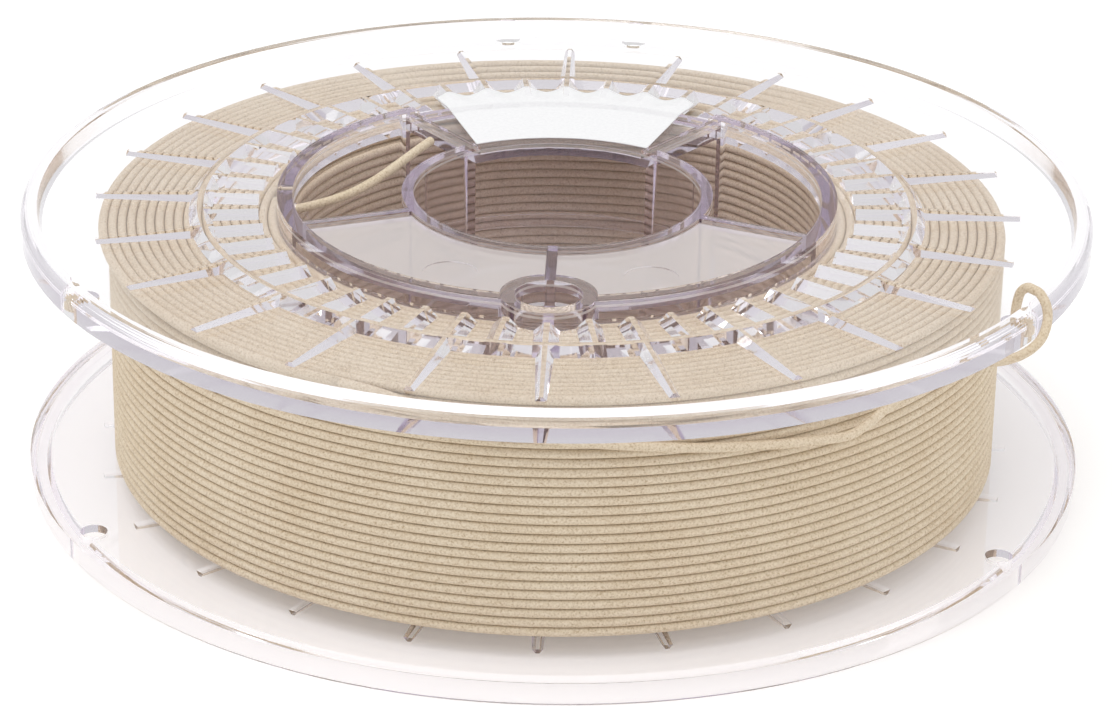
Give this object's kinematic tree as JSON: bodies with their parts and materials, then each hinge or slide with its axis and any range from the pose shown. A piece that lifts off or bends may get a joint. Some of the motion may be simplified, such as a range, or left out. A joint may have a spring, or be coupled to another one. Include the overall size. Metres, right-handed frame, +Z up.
{
  "type": "filament spool",
  "caption": "Clear moulded spool with two ribbed flanges and a windowed hub, wound full with wood-coloured printing filament.",
  "frame": {"origin": "centre of the lower rest face, on the spool's axis", "axes": "+Z up along the spool's axis, -Y towards the drive socket, +X to the right of it"},
  "size_m": [0.2, 0.2, 0.0596],
  "materials": {
    "clear_plastic": "clear, polished, faintly lavender",
    "filament": "matt, finely speckled wood-filled plastic",
    "label_paper": "matt white paper"
  },
  "bodies": {
    "root": {"upper_flange": "clear_plastic", "lower_flange": "clear_plastic", "upper_hub": "clear_plastic", "lower_hub": "clear_plastic", "label": "label_paper", "filament_layer_01": "filament", "filament_layer_02": "filament", "filament_layer_03": "filament", "filament_layer_04": "filament", "filament_layer_05": "filament", "filament_layer_06": "filament", "filament_layer_07": "filament", "filament_layer_08": "filament", "filament_layer_09": "filament", "filament_layer_10": "filament", "filament_layer_11": "filament", "filament_layer_12": "filament", "filament_layer_13": "filament", "filament_layer_14": "filament", "filament_layer_15": "filament", "filament_layer_16": "filament", "filament_layer_17": "filament", "filament_layer_18": "filament", "filament_last_turns": "filament", "filament_outer_tail": "filament", "filament_inner_tail": "filament"}
  },
  "joints": []
}
